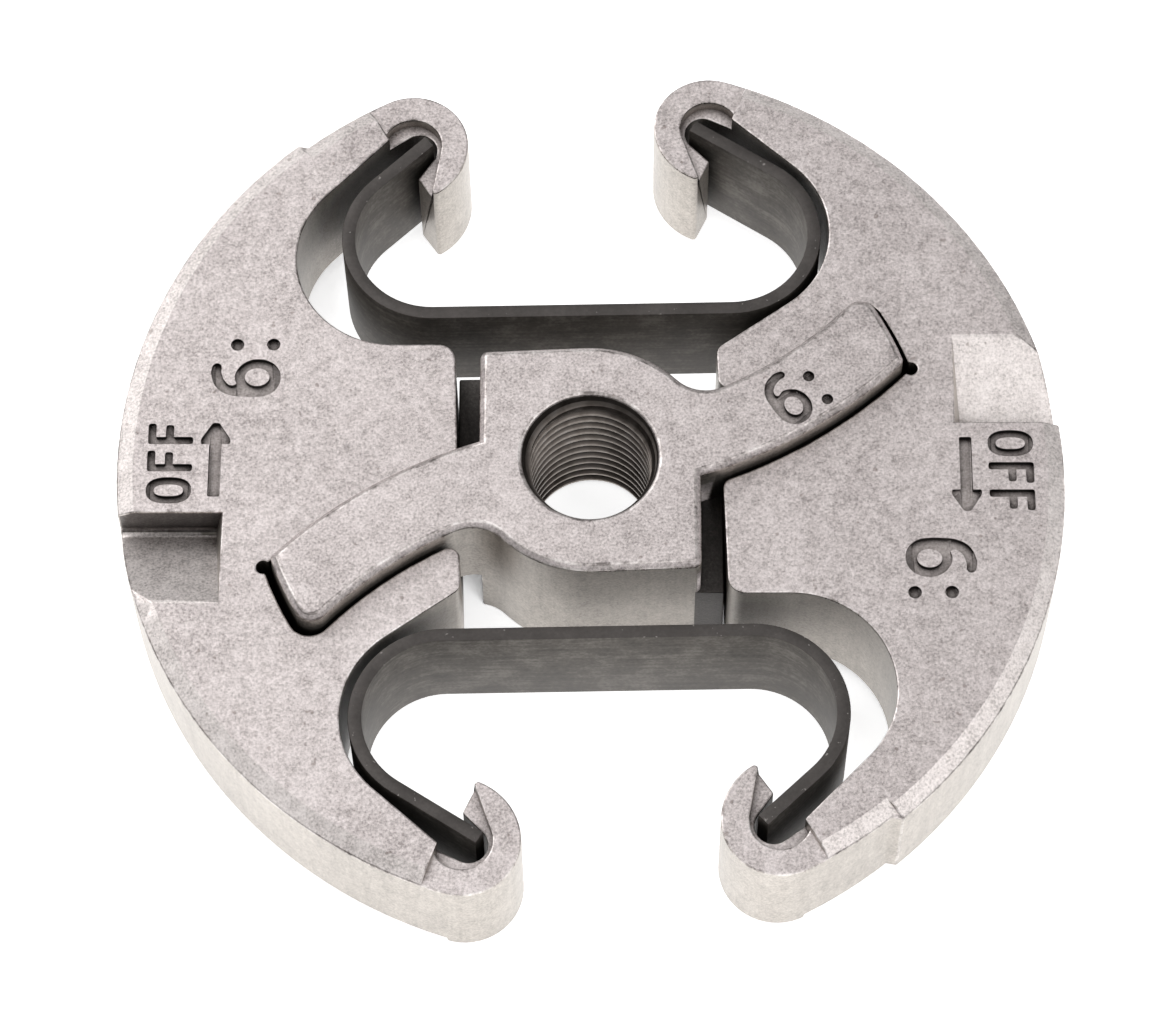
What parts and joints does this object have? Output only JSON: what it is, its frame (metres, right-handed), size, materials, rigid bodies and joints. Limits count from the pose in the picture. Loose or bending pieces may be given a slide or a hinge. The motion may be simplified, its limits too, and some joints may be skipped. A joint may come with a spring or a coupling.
{
  "type": "chainsaw clutch",
  "caption": "Centrifugal chainsaw clutch: an S-armed hub with a threaded bore carries hooked friction shoes on curved arms, and bent strip springs pull the shoes inwards.",
  "frame": {"origin": "on the bore axis, at the hub's rear face", "axes": "+Z along the bore axis, from the rear face towards the marked face; +X towards the shoe whose arm curves towards +Y"},
  "size_m": [0.07, 0.0668, 0.014],
  "materials": {
    "hub_metal": "bare pressed and sintered metal, fine grain",
    "shoe_metal": "bare pressed and sintered metal, fine grain",
    "spring_strip": "blued spring strip with fine rolling scratches"
  },
  "bodies": {
    "hub": {"hub": "hub_metal", "rear_spring": "spring_strip", "front_spring": "spring_strip"},
    "left_shoe": {"left_shoe": "shoe_metal"},
    "right_shoe": {"right_shoe": "shoe_metal"}
  },
  "joints": [
    {"name": "left_shoe_swing", "type": "hinge", "parent": "hub", "child": "left_shoe", "pos_m": [0.00355, -0.03437, 0.007], "axis": [0, 0, 1], "range_deg": [0, 1.7], "stiffness_Nm_per_rad": 20, "deforming": ["front_spring"]},
    {"name": "right_shoe_swing", "type": "hinge", "parent": "hub", "child": "right_shoe", "pos_m": [-0.00355, 0.03437, 0.007], "axis": [0, 0, 1], "range_deg": [0, 1.7], "stiffness_Nm_per_rad": 20, "deforming": ["rear_spring"]}
  ]
}
